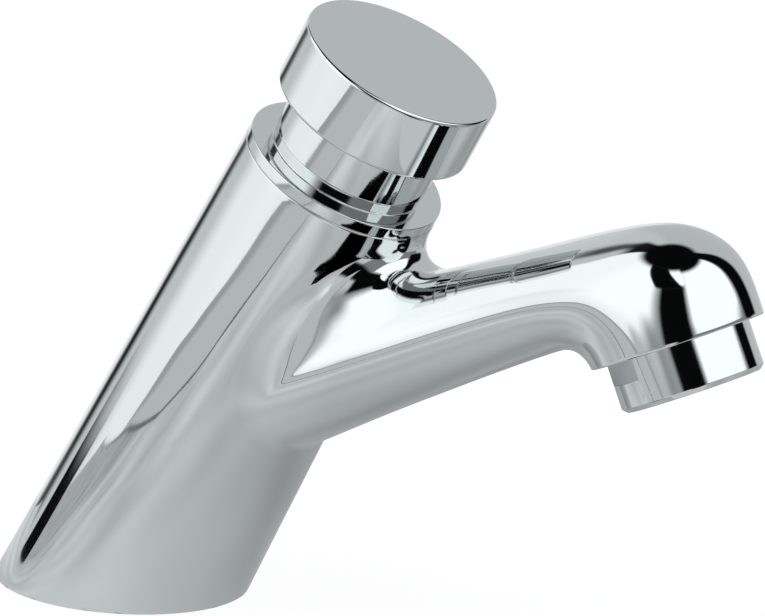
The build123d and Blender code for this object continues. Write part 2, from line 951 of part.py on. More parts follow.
nodes = {
    "body_casting": body_casting(),
    "bonnet_nut": bonnet_nut(),
    "neck_sleeve": neck_sleeve(),
    "cartridge_barrel": cartridge_barrel(),
    "cartridge_seals": Compound(children=cartridge_seals()),
    "seat_gasket": seat_gasket(),
    "valve_seat": valve_seat(),
    "lower_bush": lower_bush(),
    "cartridge_cap": cartridge_cap(),
    "stem_seal": stem_seal(),
    "stem_bush": stem_bush(),
    "stem_clip": stem_clip(),
    "spindle": spindle(),
    "piston": piston(),
    "cup_seal": cup_seal(),
    "piston_clip": piston_clip(),
    "valve_washer": valve_washer(),
    "valve_disc": valve_disc(),
    "valve_nut": valve_nut(),
    "button_locknut": button_locknut(),
    "push_button": push_button(),
    "return_spring": return_spring(),
    "inlet_shank": inlet_shank(),
    "shank_gasket": shank_gasket(),
    "base_gasket": base_gasket(),
    "deck_washer": deck_washer(),
    "clamp_washer": clamp_washer(),
    "backnut": backnut(),
    "inlet_strainer": inlet_strainer(),
    "outlet_housing": outlet_housing(),
    "outlet_washer": outlet_washer(),
    "outlet_strainer": outlet_strainer(),
    "flow_regulator": flow_regulator(),
    "jet_plate_cup": jet_plate_cup(),
    "outlet_grid": outlet_grid(),
}

os.makedirs("parts", exist_ok=True)
for name, shape in nodes.items():
    export_step(shape, f"parts/{name}.step")
    print(name, round(shape.volume, 1))
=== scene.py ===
import bpy
import math
import numpy
from mathutils import Matrix, Vector


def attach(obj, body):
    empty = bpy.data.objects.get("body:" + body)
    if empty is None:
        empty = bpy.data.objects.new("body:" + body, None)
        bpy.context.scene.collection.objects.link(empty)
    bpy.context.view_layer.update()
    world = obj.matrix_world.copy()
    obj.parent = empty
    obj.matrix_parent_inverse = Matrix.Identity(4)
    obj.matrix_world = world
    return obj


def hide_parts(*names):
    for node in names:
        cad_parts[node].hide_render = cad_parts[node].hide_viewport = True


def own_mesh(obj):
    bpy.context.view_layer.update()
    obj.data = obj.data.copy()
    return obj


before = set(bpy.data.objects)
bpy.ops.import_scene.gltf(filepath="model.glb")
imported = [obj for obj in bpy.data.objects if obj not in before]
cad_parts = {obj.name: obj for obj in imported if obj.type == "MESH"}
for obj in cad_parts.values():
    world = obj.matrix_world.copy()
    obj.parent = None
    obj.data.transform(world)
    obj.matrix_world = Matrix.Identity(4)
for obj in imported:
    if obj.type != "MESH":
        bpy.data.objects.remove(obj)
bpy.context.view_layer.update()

# The camera stands where the photograph was taken from, a little above the tap and
# to the right of its front, one metre away with a long lens.
view_turn = math.radians(32.508)
view_rise = math.radians(13.839)
view_roll = math.radians(1.8625)
view_target = Vector((0.06046, 0, 0.06655))
view_distance = 1.0
picture_width = 765
focal_pixels = 5144.48

towards_camera = Vector((
    math.sin(view_turn) * math.cos(view_rise),
    -math.cos(view_turn) * math.cos(view_rise),
    math.sin(view_rise),
))
level_right = Vector((math.cos(view_turn), math.sin(view_turn), 0))
level_up = towards_camera.cross(level_right)
picture_right = math.cos(view_roll) * level_right + math.sin(view_roll) * level_up
picture_up = towards_camera.cross(picture_right)

camera_data = bpy.data.cameras.new("camera")
camera_data.sensor_width = 36
camera_data.lens = focal_pixels / picture_width * camera_data.sensor_width
camera_data.clip_end = 20
camera = bpy.data.objects.new("camera", camera_data)
camera.matrix_world = Matrix.Translation(view_target + view_distance * towards_camera) @ Matrix(
    (picture_right, picture_up, towards_camera)
).transposed().to_4x4()
bpy.context.scene.collection.objects.link(camera)
bpy.context.scene.camera = camera
bpy.context.scene.view_settings.view_transform = "Standard"

# Body casting: the leaning body and its spout, one sand casting in brass, ground
# smooth, bored from the top for the cartridge and from below for the shank, then
# polished and chromed. A round fillet runs where the spout leaves the body.
lean = math.radians(28.7)
up_body = Vector((math.sin(lean), 0, math.cos(lean)))
front_of_body = Vector((math.cos(lean), 0, -math.sin(lean)))
across = Vector((0, 1, 0))
body_length = 0.1068
body_foot_radius = 0.02364
body_top_radius = 0.0203
flange_thickness = 0.00245
seam_level = body_length - flange_thickness
body_taper = (body_foot_radius - body_top_radius) / body_length

outlet_tilt = math.radians(24.4)
rim_centre = Vector((0.12635, 0, 0.0706))
up_outlet = Vector((-math.sin(outlet_tilt), 0, math.cos(outlet_tilt)))
front_of_outlet = Vector((math.cos(outlet_tilt), 0, math.sin(outlet_tilt)))
rim_radius = 0.01703
head_height = 0.0234
root_level = 0.048
root_back = -front_of_outlet.dot(up_body * root_level - rim_centre)
junction_round = 0.004
side_round = 0.016
fillet_top_level = seam_level - 0.0007
junction_limit = 0.6
fillet_limit = 0.95

# Each row is one oval of the spout, from inside the body to the rim: the share of
# the way back and the height of its lowest point, the same of its highest point,
# and half its width.
spout_oval_shares = [
    (1.000, 0.048, 1.000, 1.346, 1.057),
    (0.775, 0.100, 0.837, 1.278, 1.022),
    (0.573, 0.152, 0.691, 1.222, 0.928),
    (0.393, 0.186, 0.561, 1.167, 0.834),
    (0.213, 0.212, 0.415, 1.107, 0.804),
    (0.112, 0.218, 0.301, 1.064, 0.834),
    (0.052, 0.196, 0.155, 0.998, 0.910),
    (0.022, 0.135, 0.068, 0.865, 0.955),
    (0.006, 0.050, 0.010, 0.550, 0.990),
    (0.000, 0.000, 0.000, 0.000, 1.000),
]


def oval_sizes(shares):
    """The lowest and the highest point of one oval in the outlet's frame, and half its width."""
    under_back, under_height, above_back, above_height, width = shares
    return (
        -rim_radius - under_back * (root_back - rim_radius),
        under_height * head_height,
        rim_radius - above_back * (root_back + rim_radius),
        above_height * head_height,
        width * rim_radius,
    )


ovals = numpy.array([oval_sizes(row) for row in spout_oval_shares])
oval_steps = numpy.hypot(numpy.diff(ovals[:, 0]), numpy.diff(ovals[:, 1]))
oval_steps = oval_steps + numpy.hypot(numpy.diff(ovals[:, 2]), numpy.diff(ovals[:, 3]))
oval_places = numpy.concatenate([[0.0], numpy.cumsum(oval_steps)]) / oval_steps.sum()


def curve_bends(places, values):
    """The second derivatives of the smooth curve that passes through each value at its place."""
    steps = numpy.diff(places)
    slopes = numpy.diff(values, axis=0) / steps[:, None]
    count = len(places)
    matrix = numpy.eye(count)
    right = numpy.zeros_like(values)
    for i in range(1, count - 1):
        matrix[i, i - 1:i + 2] = (steps[i - 1], 2 * (steps[i - 1] + steps[i]), steps[i])
        right[i] = 6 * (slopes[i] - slopes[i - 1])
    return numpy.linalg.solve(matrix, right)


oval_bends = curve_bends(oval_places, ovals)


def oval_at(place):
    """The oval at a share of the way from the spout's root to its rim."""
    i = int(numpy.clip(numpy.searchsorted(oval_places, place) - 1, 0, len(ovals) - 2))
    step = oval_places[i + 1] - oval_places[i]
    after = (place - oval_places[i]) / step
    before = 1 - after
    straight = before * ovals[i] + after * ovals[i + 1]
    bend = (before**3 - before) * oval_bends[i] + (after**3 - after) * oval_bends[i + 1]
    return straight + bend * step**2 / 6


def on_spout(place, turn):
    """A point on the spout's skin; turn 0 is its top line and half a turn its underside."""
    under_x, under_z, above_x, above_z, half_width = oval_at(place)
    low = rim_centre + front_of_outlet * under_x + up_outlet * under_z
    high = rim_centre + front_of_outlet * above_x + up_outlet * above_z
    middle = (low + high) / 2
    return middle + (high - low) / 2 * math.cos(turn) + across * (half_width * math.sin(turn))


def body_radius(level):
    return body_foot_radius - body_taper * level


def on_body(turn, level):
    """A point on the body's side; turn 0 faces the spout, and level runs up its axis."""
    out = front_of_body * math.cos(turn) + across * math.sin(turn)
    return up_body * level + out * body_radius(level)


def body_place(point):
    """The turn and level of a point near the body's side, and how far outside it lies."""
    level = point.dot(up_body)
    forward, sideways = point.dot(front_of_body), point.dot(across)
    outside = math.hypot(forward, sideways) - body_radius(level)
    return math.atan2(sideways, forward), level, outside


def search(crossed, low, high):
    """Where between two values a test turns true, by halving."""
    for _ in range(40):
        middle = (low + high) / 2
        if crossed(middle):
            high = middle
        else:
            low = middle
    return high


def spout_meets_body(turn):
    """The fillet along one line of the spout: its foot on the body, the corner it rounds, its
    end on the spout with the place there, and half the angle it opens."""
    place = search(lambda p: body_place(on_spout(p, turn))[2] > 0, 0.0, junction_limit)
    corner = on_spout(place, turn)
    nudge = 1e-4
    along = (on_spout(place + nudge, turn) - corner).normalized()
    around = (on_spout(place, turn + nudge) - corner).normalized()
    spout_out = around.cross(along).normalized()
    body_turn, _, _ = body_place(corner)
    body_out = front_of_body * math.cos(body_turn) + across * math.sin(body_turn)
    body_out += up_body * body_taper
    body_out.normalize()
    if spout_out.dot(corner - (on_spout(place, 0) + on_spout(place, math.pi)) / 2) < 0:
        spout_out.negate()
    edge = body_out.cross(spout_out).normalized()
    over_body = body_out.cross(edge)
    over_body *= math.copysign(1, over_body.dot(spout_out))
    over_spout = spout_out.cross(edge)
    over_spout *= math.copysign(1, over_spout.dot(body_out))
    half_angle = over_body.angle(over_spout) / 2
    round_here = junction_round + (side_round - junction_round) * math.sin(turn)**2
    reach = round_here / math.tan(half_angle)
    reach = min(reach, (fillet_top_level - corner.dot(up_body)) / max(over_body.dot(up_body), 1e-3))
    foot_turn, foot_level, _ = body_place(corner + over_body * reach)
    run = reach / max(along.dot(over_spout), 0.3)
    end_place = search(lambda p: (on_spout(p, turn) - corner).length > run, place, fillet_limit)
    return (foot_turn, foot_level), corner, end_place, half_angle


spout_columns = 96
spout_rows = 64
fillet_rows = 10
skirt_rows = 8
patch_half_turn = math.radians(84)
patch_columns = 28
patch_low_level = 0.044
patch_rows = 20
meetings = [spout_meets_body(2 * math.pi * k / spout_columns) for k in range(spout_columns)]


def patch_border(k):
    """The turn and level of one corner of the patch of body side that carries the spout."""
    half = patch_columns // 2
    if k > spout_columns // 2:
        turn, level = patch_border(spout_columns - k)
        return -turn, level
    if k <= half:
        return patch_half_turn * k / half, seam_level
    if k <= half + patch_rows:
        drop = (k - half) / patch_rows
        return patch_half_turn, seam_level + (patch_low_level - seam_level) * drop
    return patch_half_turn * (spout_columns / 2 - k) / half, patch_low_level


def spout_point(column, row):
    """Rows run from the rim up the spout, round the fillet and out to the patch's border."""
    k = column % spout_columns
    turn = 2 * math.pi * k / spout_columns
    (foot_turn, foot_level), corner, end_place, half_angle = meetings[k]
    if row <= spout_rows:
        return on_spout(1 - (1 - end_place) * row / spout_rows, turn)
    if row <= spout_rows + fillet_rows:
        share = (row - spout_rows) / fillet_rows
        start, end = on_spout(end_place, turn), on_body(foot_turn, foot_level)
        weights = ((1 - share)**2, 2 * share * (1 - share) * math.sin(half_angle), share**2)
        whole = sum(weights)
        return (start * weights[0] + corner * weights[1] + end * weights[2]) / whole
    share = (row - spout_rows - fillet_rows) / skirt_rows
    border_turn, border_level = patch_border(k)
    return on_body(
        foot_turn + (border_turn - foot_turn) * share,
        foot_level + (border_level - foot_level) * share,
    )


def shaped_grid(name, columns, rows, place):
    """Adds a flat grid and puts each of its corners where place(column, row) says."""
    bpy.ops.mesh.primitive_grid_add(x_subdivisions=columns, y_subdivisions=rows, size=1)
    grid = bpy.context.object
    grid.name = name
    for vertex in grid.data.vertices:
        column = round((vertex.co.x + 0.5) * columns)
        row = round((vertex.co.y + 0.5) * rows)
        vertex.co = place(column, row)
    return grid


foot_rows = 20
foot_low_level = -0.016
back_turn = 2 * math.pi - 2 * patch_half_turn
back_columns = round(back_turn / (2 * patch_half_turn / patch_columns))


def body_level(row):
    if row <= foot_rows:
        return foot_low_level + (patch_low_level - foot_low_level) * row / foot_rows
    return patch_low_level + (seam_level - patch_low_level) * (row - foot_rows) / patch_rows


bpy.ops.object.select_all(action="DESELECT")
spout_skin = shaped_grid(
    "body_casting_visual", spout_columns, spout_rows + fillet_rows + skirt_rows, spout_point
)
back_skin = shaped_grid(
    "back_skin",
    back_columns,
    foot_rows + patch_rows,
    lambda column, row: on_body(
        patch_half_turn + back_turn * column / back_columns, body_level(row)
    ),
)
front_skin = shaped_grid(
    "front_skin",
    patch_columns,
    foot_rows,
    lambda column, row: on_body(
        patch_half_turn * (2 * column / patch_columns - 1), body_level(row)
    ),
)
for skin in (spout_skin, back_skin, front_skin):
    skin.select_set(True)
bpy.context.view_layer.objects.active = spout_skin
bpy.ops.object.join()
casting = bpy.context.object
bpy.ops.object.mode_set(mode="EDIT")
bpy.ops.mesh.select_all(action="SELECT")
bpy.ops.mesh.remove_doubles(threshold=2e-6)
bpy.ops.mesh.normals_make_consistent(inside=False)
bpy.ops.object.mode_set(mode="OBJECT")


def finish_with(piece, kind, **settings):
    """Adds one modifier to a piece and applies it."""
    bpy.ops.object.select_all(action="DESELECT")
    piece.select_set(True)
    bpy.context.view_layer.objects.active = piece
    modifier = piece.modifiers.new(kind.lower(), kind)
    for setting, value in settings.items():
        setattr(modifier, setting, value)
    bpy.ops.object.modifier_apply(modifier=modifier.name)


def pick_edges(piece, wanted):
    """Opens a piece in edit mode with just the edges that a test wants selected."""
    bpy.ops.object.select_all(action="DESELECT")
    piece.select_set(True)
    bpy.context.view_layer.objects.active = piece
    bpy.ops.object.mode_set(mode="EDIT")
    bpy.ops.mesh.select_mode(type="EDGE")
    bpy.ops.mesh.select_all(action="DESELECT")
    bpy.ops.object.mode_set(mode="OBJECT")
    points = [vertex.co for vertex in piece.data.vertices]
    for edge in piece.data.edges:
        edge.select = wanted(*(points[i] for i in edge.vertices))
    bpy.ops.object.mode_set(mode="EDIT")


finish_with(casting, "SUBSURF", levels=1, render_levels=1)

# The open ends are closed flat, the foot is sawn off on the deck, and the sharp
# edges are broken.
touch = 5e-5
edge_break = 0.0003
ends = (
    (rim_centre, up_outlet),
    (up_body * seam_level, up_body),
)
deck_plane = (Vector((0, 0, 0)), Vector((0, 0, 1)))


def lies_on(origin, normal):
    """A test for edges with both ends in one plane."""
    def in_plane(point):
        return abs((point - origin).dot(normal)) < touch

    return lambda a, b: in_plane(a) and in_plane(b)


for origin, normal in ends:
    pick_edges(casting, lies_on(origin, normal))
    bpy.ops.mesh.edge_face_add()
    bpy.ops.object.mode_set(mode="OBJECT")
pick_edges(casting, lambda a, b: True)
bpy.ops.mesh.bisect(
    plane_co=(0, 0, 0), plane_no=(0, 0, 1), clear_inner=True, use_fill=True, threshold=1e-6
)
bpy.ops.object.mode_set(mode="OBJECT")
pick_edges(casting, lies_on(*deck_plane))
bpy.ops.mesh.remove_doubles(threshold=4 * edge_break)
bpy.ops.mesh.select_all(action="SELECT")
bpy.ops.mesh.normals_make_consistent(inside=False)
bpy.ops.object.mode_set(mode="OBJECT")
for origin, normal in ends + (deck_plane,):
    pick_edges(casting, lies_on(origin, normal))
    bpy.ops.mesh.bevel(offset=edge_break, segments=3, affect="EDGES")
    bpy.ops.object.mode_set(mode="OBJECT")


def turned(name, outline, steps=128):
    """Turns an outline of (radius, height) corners about Z, as on a lathe."""
    bpy.ops.object.select_all(action="DESELECT")
    bpy.ops.mesh.primitive_circle_add(vertices=len(outline), radius=1)
    piece = bpy.context.object
    piece.name = name
    for vertex, (radius, height) in zip(piece.data.vertices, outline):
        vertex.co = (radius, 0, height)
    bpy.ops.object.mode_set(mode="EDIT")
    bpy.ops.mesh.select_all(action="SELECT")
    bpy.ops.mesh.spin(steps=steps, angle=2 * math.pi, center=(0, 0, 0), axis=(0, 0, 1))
    bpy.ops.mesh.select_all(action="SELECT")
    bpy.ops.mesh.remove_doubles(threshold=1e-7)
    bpy.ops.mesh.dissolve_degenerate(threshold=1e-7)
    bpy.ops.mesh.select_all(action="SELECT")
    bpy.ops.mesh.normals_make_consistent(inside=False)
    bpy.ops.object.mode_set(mode="OBJECT")
    return piece


body_frame = Matrix.Rotation(lean, 4, "Y")
outlet_frame = Matrix.Translation(rim_centre) @ Matrix.Rotation(-outlet_tilt, 4, "Y")


def bore(casting, name, outline, place):
    """Cuts a turned shape out of the casting."""
    cutter = turned(name, outline, 96)
    cutter.data.transform(place)
    finish_with(casting, "BOOLEAN", operation="DIFFERENCE", solver="EXACT", object=cutter)
    bpy.data.objects.remove(cutter)


# The bore up the body: the inlet chamber, the hole in the shoulder that the cartridge
# sits on, the cartridge's bore with a wide gallery round it, and the bonnet nut's thread.
cut_over = 0.001
chamber_radius = 0.0125
chamber_level = 0.0235
shoulder_hole_radius = 0.0095
shoulder_low_level = 0.038
shoulder_level = 0.044
cartridge_bore_radius = 0.015
gallery_radius = 0.0176
gallery_low_level = 0.05
gallery_high_level = 0.08
bonnet_socket_radius = 0.0165
bonnet_low_level = 0.09135
bore(casting, "cartridge_bore", [
    (0, chamber_level), (chamber_radius, chamber_level), (chamber_radius, shoulder_low_level),
    (shoulder_hole_radius, shoulder_low_level), (shoulder_hole_radius, shoulder_level),
    (cartridge_bore_radius, shoulder_level), (cartridge_bore_radius, gallery_low_level),
    (gallery_radius, gallery_low_level), (gallery_radius, gallery_high_level),
    (cartridge_bore_radius, gallery_high_level), (cartridge_bore_radius, bonnet_low_level),
    (bonnet_socket_radius, bonnet_low_level), (bonnet_socket_radius, seam_level + cut_over),
    (0, seam_level + cut_over),
], body_frame)

# The cuts in the foot and the spout's rim: the shank's socket with the inlet above it,
# the gasket's groove, and the outlet's stepped bore.
socket_radius = 0.01053
socket_depth = 0.009
inlet_radius = 0.0075
inlet_depth = 0.024
groove_inner_radius = 0.0186
groove_outer_radius = 0.0214
groove_depth = 0.0018
outlet_socket_radius = 0.01205
outlet_socket_depth = 0.0084
outlet_hole_radius = 0.0096
outlet_hole_depth = 0.0148
bore(casting, "shank_socket", [
    (0, -cut_over), (socket_radius, -cut_over), (socket_radius, socket_depth),
    (inlet_radius, socket_depth), (inlet_radius, inlet_depth), (0, inlet_depth),
], Matrix.Identity(4))
bore(casting, "gasket_groove", [
    (groove_inner_radius, -cut_over), (groove_outer_radius, -cut_over),
    (groove_outer_radius, groove_depth), (groove_inner_radius, groove_depth),
], Matrix.Identity(4))
bore(casting, "outlet_bore", [
    (0, -cut_over), (outlet_socket_radius, -cut_over), (outlet_socket_radius, outlet_socket_depth),
    (outlet_hole_radius, outlet_socket_depth), (outlet_hole_radius, outlet_hole_depth),
    (0, outlet_hole_depth),
], outlet_frame)


def polish(piece, sharp_angle=35):
    """Smooth shading that keeps flat faces flat and sharp corners sharp."""
    bpy.ops.object.select_all(action="DESELECT")
    piece.select_set(True)
    bpy.context.view_layer.objects.active = piece
    bpy.ops.object.shade_smooth_by_angle(angle=math.radians(sharp_angle))
    finish_with(piece, "WEIGHTED_NORMAL", weight=100, keep_sharp=True)


polish(casting)


def surface(name, colour, metal, roughness):
    """A material with one Principled shader, ready for its own texture nodes."""
    material = bpy.data.materials.new(name)
    material.use_nodes = True
    shader = material.node_tree.nodes["Principled BSDF"]
    shader.inputs["Base Color"].default_value = (*colour, 1)
    shader.inputs["Metallic"].default_value = metal
    shader.inputs["Roughness"].default_value = roughness
    return material, material.node_tree.nodes, material.node_tree.links, shader


def object_noise(nodes, links, scale, detail=3.0):
    """Noise that stays on the piece, in its own coordinates."""
    place = nodes.new("ShaderNodeTexCoord")
    noise = nodes.new("ShaderNodeTexNoise")
    noise.inputs["Scale"].default_value = scale
    noise.inputs["Detail"].default_value = detail
    links.new(place.outputs["Object"], noise.inputs["Vector"])
    return noise.outputs["Fac"]


def ranged(nodes, links, value, low, high, from_low=0.3, from_high=0.7):
    """Carries a value's range, by default the middle of a noise, to the one a socket takes."""
    spread = nodes.new("ShaderNodeMapRange")
    spread.inputs["From Min"].default_value = from_low
    spread.inputs["From Max"].default_value = from_high
    spread.inputs["To Min"].default_value = low
    spread.inputs["To Max"].default_value = high
    links.new(value, spread.inputs["Value"])
    return spread.outputs["Result"]


def chrome(name, colour, roughness, wave_size, wave_stretch, wave_height):
    """Chrome plate: mirror bright, with faint wiping haze over the waves that polishing leaves."""
    material, nodes, links, shader = surface(name, colour, 1.0, roughness)
    haze = ranged(nodes, links, object_noise(nodes, links, 45), roughness * 0.7, roughness * 1.6)
    links.new(haze, shader.inputs["Roughness"])
    place = nodes.new("ShaderNodeTexCoord")
    along = nodes.new("ShaderNodeMapping")
    along.vector_type = "TEXTURE"
    along.inputs["Rotation"].default_value = (0, lean, 0)
    along.inputs["Scale"].default_value = (1, 1, wave_stretch)
    waves = nodes.new("ShaderNodeTexNoise")
    waves.inputs["Scale"].default_value = 1 / wave_size
    waves.inputs["Detail"].default_value = 1
    rise = nodes.new("ShaderNodeBump")
    rise.inputs["Distance"].default_value = wave_height
    rise.inputs["Strength"].default_value = 1
    links.new(place.outputs["Object"], along.inputs["Vector"])
    links.new(along.outputs["Vector"], waves.inputs["Vector"])
    links.new(waves.outputs["Fac"], rise.inputs["Height"])
    links.new(rise.outputs["Normal"], shader.inputs["Normal"])
    return material


def coat(piece, material):
    """Gives a piece its one material."""
    piece.data.materials.clear()
    piece.data.materials.append(material)


chrome_colour = (0.72, 0.745, 0.75)
coat(casting, chrome("casting_chrome", chrome_colour, 0.035, 0.014, 2.5, 0.0002))
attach(casting, "tap_body")
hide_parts("body_casting")

# Bonnet nut: turned brass, chromed. Its flange is the band that closes the body's
# top, and the low step above it carries the neck sleeve.
step_level = body_length + 0.0024
step_radius = 0.01575
nut_bore_radius = 0.0106
nut_thread_radius = 0.01645
spigot_radius = 0.0145
spigot_level = step_level + 0.004


def broken_edges(piece, width, segments=3, angle=40):
    """Rounds a turned piece's sharp edges a little, as deburring and polishing do."""
    finish_with(
        piece, "BEVEL", width=width, segments=segments,
        limit_method="ANGLE", angle_limit=math.radians(angle),
    )


bonnet_nut = turned("bonnet_nut_visual", [
    (nut_bore_radius, bonnet_low_level), (nut_thread_radius, bonnet_low_level),
    (nut_thread_radius, seam_level), (body_top_radius, seam_level),
    (body_top_radius, body_length), (step_radius, body_length), (step_radius, step_level),
    (spigot_radius, step_level), (spigot_radius, spigot_level), (nut_bore_radius, spigot_level),
])
broken_edges(bonnet_nut, 0.00025)
bonnet_nut.data.transform(body_frame)
polish(bonnet_nut)
turned_chrome = chrome("turned_chrome", chrome_colour, 0.045, 0.02, 0.02, 0.0000015)
coat(bonnet_nut, turned_chrome)
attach(bonnet_nut, "tap_body")
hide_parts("bonnet_nut")

# Neck sleeve: a thin chromed tube pushed over the nut's spigot, which the button
# slides down over.
neck_radius = 0.01605
sleeve_bore_radius = 0.01455
sleeve_top = 0.1204
neck_sleeve = turned("neck_sleeve_visual", [
    (sleeve_bore_radius, step_level), (neck_radius, step_level),
    (neck_radius, sleeve_top), (sleeve_bore_radius, sleeve_top),
])
broken_edges(neck_sleeve, 0.0002)
neck_sleeve.data.transform(body_frame)
polish(neck_sleeve)
coat(neck_sleeve, turned_chrome)
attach(neck_sleeve, "tap_body")
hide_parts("neck_sleeve")

# Push button: a turned cup with a flat top and a small round at its edge, chromed
# all over. Its boss inside screws onto the spindle.
button_rim_level = 0.11845
button_top_level = 0.13205
button_radius = 0.02015
button_cavity_radius = 0.01695
button_roof_level = 0.12945
boss_radius = 0.0065
boss_low_level = 0.12155
spindle_hole_radius = 0.003
spindle_hole_level = 0.12805
push_button = turned("push_button_visual", [
    (0, spindle_hole_level), (spindle_hole_radius, spindle_hole_level),
    (spindle_hole_radius, boss_low_level), (boss_radius, boss_low_level),
    (boss_radius, button_roof_level), (button_cavity_radius, button_roof_level),
    (button_cavity_radius, button_rim_level),
    (button_radius, button_rim_level), (button_radius, button_top_level), (0, button_top_level),
])
broken_edges(push_button, 0.0007, 4)
push_button.data.transform(body_frame)
polish(push_button)
coat(push_button, chrome("button_chrome", chrome_colour, 0.03, 0.01, 1, 0.00001))
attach(push_button, "push_group")
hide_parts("push_button")

# Outlet housing: a short chromed ring screwed up into the spout's rim, with two
# flats for a spanner and a dark mouth.
housing_radius = 0.014
housing_length = 0.0097
housing_mouth_radius = 0.0099
housing_bore_radius = 0.0106
housing_thread_radius = 0.012
housing_thread_height = 0.0064
housing_lip_level = -0.0082
housing_chamfer = 0.0009
mouth_chamfer = 0.0005
outlet_housing = turned("outlet_housing_visual", [
    (housing_mouth_radius + mouth_chamfer, -housing_length),
    (housing_radius - housing_chamfer, -housing_length),
    (housing_radius, -housing_length + housing_chamfer),
    (housing_radius, 0), (housing_thread_radius, 0),
    (housing_thread_radius, housing_thread_height), (housing_bore_radius, housing_thread_height),
    (housing_bore_radius, housing_lip_level), (housing_mouth_radius, housing_lip_level),
    (housing_mouth_radius, -housing_length + mouth_chamfer),
])
flat_depth = 0.00105
flat_height = 0.0042
for flat_angle in (-121, 59):
    bpy.ops.mesh.primitive_cube_add(size=1)
    spanner_cut = bpy.context.object
    spanner_cut.data.transform(
        Matrix.Rotation(math.radians(flat_angle), 4, "Z")
        @ Matrix.Translation((1.5 * housing_radius - flat_depth, 0, -flat_height / 2))
        @ Matrix.Diagonal((housing_radius, 2 * housing_radius, flat_height, 1))
    )
    finish_with(
        outlet_housing, "BOOLEAN", operation="DIFFERENCE", solver="EXACT", object=spanner_cut
    )
    bpy.data.objects.remove(spanner_cut)
broken_edges(outlet_housing, 0.00015, 2)
outlet_housing.data.transform(outlet_frame)
polish(outlet_housing)
coat(outlet_housing, turned_chrome)
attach(outlet_housing, "tap_body")
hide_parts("outlet_housing")

# Cartridge: the barrel, its cap, seat and valve disc are turned from brass bar and left
# bare. They screw and push together inside the body, round the stainless spindle.
def bare_metal(name, colour, dull_colour, roughness, line_depth):
    """Unplated turned metal: fine tool lines, uneven gloss and a little tarnish."""
    material, nodes, links, shader = surface(name, colour, 1.0, roughness)
    tarnish = nodes.new("ShaderNodeMix")
    tarnish.data_type = "RGBA"
    tarnish.inputs["A"].default_value = (*colour, 1)
    tarnish.inputs["B"].default_value = (*dull_colour, 1)
    patches = object_noise(nodes, links, 160, 5)
    links.new(ranged(nodes, links, patches, 0, 1, 0.45, 0.75), tarnish.inputs["Factor"])
    links.new(tarnish.outputs["Result"], shader.inputs["Base Color"])
    gloss = ranged(nodes, links, object_noise(nodes, links, 420), roughness * 0.75, roughness * 1.3)
    links.new(gloss, shader.inputs["Roughness"])
    lines = nodes.new("ShaderNodeBump")
    lines.inputs["Distance"].default_value = line_depth
    lines.inputs["Strength"].default_value = 0.6
    links.new(object_noise(nodes, links, 2200, 2), lines.inputs["Height"])
    links.new(lines.outputs["Normal"], shader.inputs["Normal"])
    return material


def finish_nodes(names, material):
    """Gives CAD nodes their finish."""
    for name in names:
        coat(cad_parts[name], material)


cartridge_brass = bare_metal(
    "cartridge_brass", (0.80, 0.62, 0.33), (0.58, 0.40, 0.19), 0.24, 0.000012
)
finish_nodes(
    ("cartridge_barrel", "cartridge_cap", "valve_seat", "valve_disc", "valve_nut", "stem_bush"),
    cartridge_brass,
)
stainless = bare_metal("stainless", (0.63, 0.63, 0.62), (0.52, 0.51, 0.49), 0.28, 0.000012)
finish_nodes(("spindle", "button_locknut", "inlet_strainer", "outlet_strainer"), stainless)
spring_steel = bare_metal("spring_steel", (0.55, 0.55, 0.54), (0.42, 0.41, 0.40), 0.32, 0.000008)
finish_nodes(("stem_clip", "piston_clip"), spring_steel)


# Seals, washers and gaskets: moulded black rubber, and pressed red fibre under the
# barrel and over the shank. The lower bush and the piston are moulded white acetal, the
# jet cup and the grid grey plastic.
def moulded(name, colour, pale_colour, roughness, grain_size, grain_depth):
    """Moulded plastic, rubber or fibre: a grained skin, mottled a little, with uneven gloss."""
    material, nodes, links, shader = surface(name, colour, 0.0, roughness)
    mottle = nodes.new("ShaderNodeMix")
    mottle.data_type = "RGBA"
    mottle.inputs["A"].default_value = (*colour, 1)
    mottle.inputs["B"].default_value = (*pale_colour, 1)
    patches = object_noise(nodes, links, 260, 4)
    links.new(ranged(nodes, links, patches, 0, 1, 0.4, 0.75), mottle.inputs["Factor"])
    links.new(mottle.outputs["Result"], shader.inputs["Base Color"])
    gloss = ranged(nodes, links, object_noise(nodes, links, 350), roughness * 0.85, roughness * 1.15)
    links.new(gloss, shader.inputs["Roughness"])
    grain = nodes.new("ShaderNodeBump")
    grain.inputs["Distance"].default_value = grain_depth
    grain.inputs["Strength"].default_value = 0.6
    links.new(object_noise(nodes, links, 1 / grain_size, 2), grain.inputs["Height"])
    links.new(grain.outputs["Normal"], shader.inputs["Normal"])
    return material


black_rubber = moulded(
    "black_rubber", (0.028, 0.028, 0.030), (0.055, 0.054, 0.052), 0.62, 0.0004, 0.00004
)
finish_nodes(
    ("cartridge_seals", "stem_seal", "cup_seal", "valve_washer", "outlet_washer", "flow_regulator"),
    black_rubber,
)
fibre = moulded("fibre_gasket", (0.30, 0.11, 0.075), (0.42, 0.20, 0.14), 0.8, 0.0003, 0.00008)
finish_nodes(("seat_gasket", "shank_gasket"), fibre)
white_plastic = moulded(
    "white_plastic", (0.80, 0.80, 0.77), (0.84, 0.84, 0.82), 0.4, 0.0005, 0.00002
)
finish_nodes(("lower_bush", "piston"), white_plastic)
grey_plastic = moulded(
    "grey_plastic", (0.17, 0.175, 0.18), (0.21, 0.215, 0.22), 0.45, 0.0005, 0.00002
)
finish_nodes(("jet_plate_cup", "outlet_grid"), grey_plastic)


